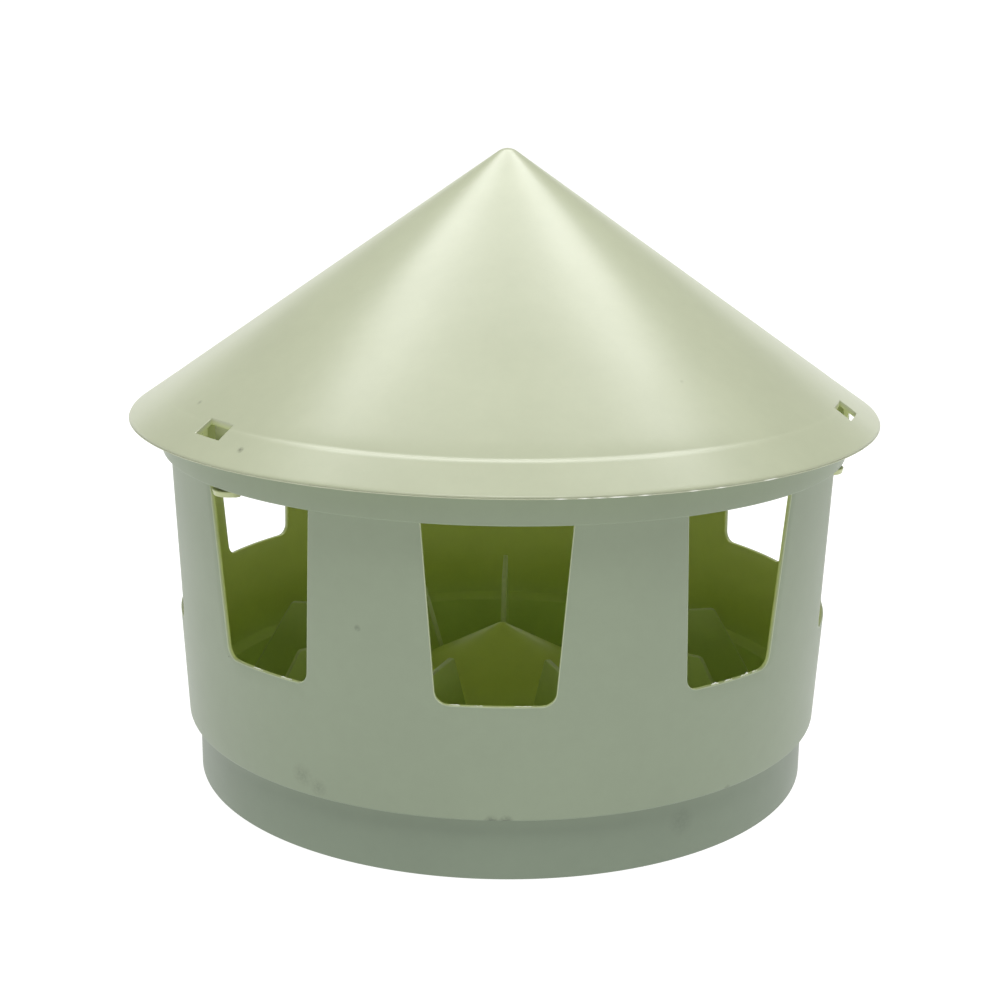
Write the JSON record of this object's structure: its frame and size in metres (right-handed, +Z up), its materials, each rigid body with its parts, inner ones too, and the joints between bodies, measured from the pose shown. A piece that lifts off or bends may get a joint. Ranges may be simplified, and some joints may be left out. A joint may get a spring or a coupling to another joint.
{
  "type": "poultry feeder",
  "caption": "Round covered feeder: a tray with a raised centre cone and radial dividers, a tapered wall with feeding windows, and a conical roof held on by snap hooks.",
  "frame": {"origin": "centre of the tray's underside, on the vertical axis", "axes": "+Z up along the axis of the cone; -Y through the middle of window 1; +X completes a right-handed frame"},
  "size_m": [0.28, 0.28, 0.2345],
  "materials": {
    "body_plastic": "satin sage green polypropylene, slightly translucent",
    "roof_plastic": "satin pale sage green polypropylene, slightly translucent"
  },
  "bodies": {
    "feeder_body": {"tray_dish": "body_plastic", "spreader_cone": "body_plastic", "divider_1": "body_plastic", "divider_2": "body_plastic", "divider_3": "body_plastic", "divider_4": "body_plastic", "divider_5": "body_plastic", "divider_6": "body_plastic", "divider_7": "body_plastic", "divider_8": "body_plastic", "divider_9": "body_plastic", "sill_band": "body_plastic", "window_post_1": "body_plastic", "window_post_2": "body_plastic", "window_post_3": "body_plastic", "window_post_4": "body_plastic", "window_post_5": "body_plastic", "window_post_6": "body_plastic", "window_post_7": "body_plastic", "window_post_8": "body_plastic", "window_post_9": "body_plastic", "collar_rim": "body_plastic"},
    "roof": {"roof_shell": "roof_plastic", "snap_hook_1": "roof_plastic", "snap_hook_2": "roof_plastic", "snap_hook_3": "roof_plastic"}
  },
  "joints": [
    {"name": "roof_lift", "type": "slide", "parent": "feeder_body", "child": "roof", "axis": [0, 0, 1], "range_m": [0, 0.06], "deforming": ["snap_hook_1", "snap_hook_2", "snap_hook_3"]}
  ]
}
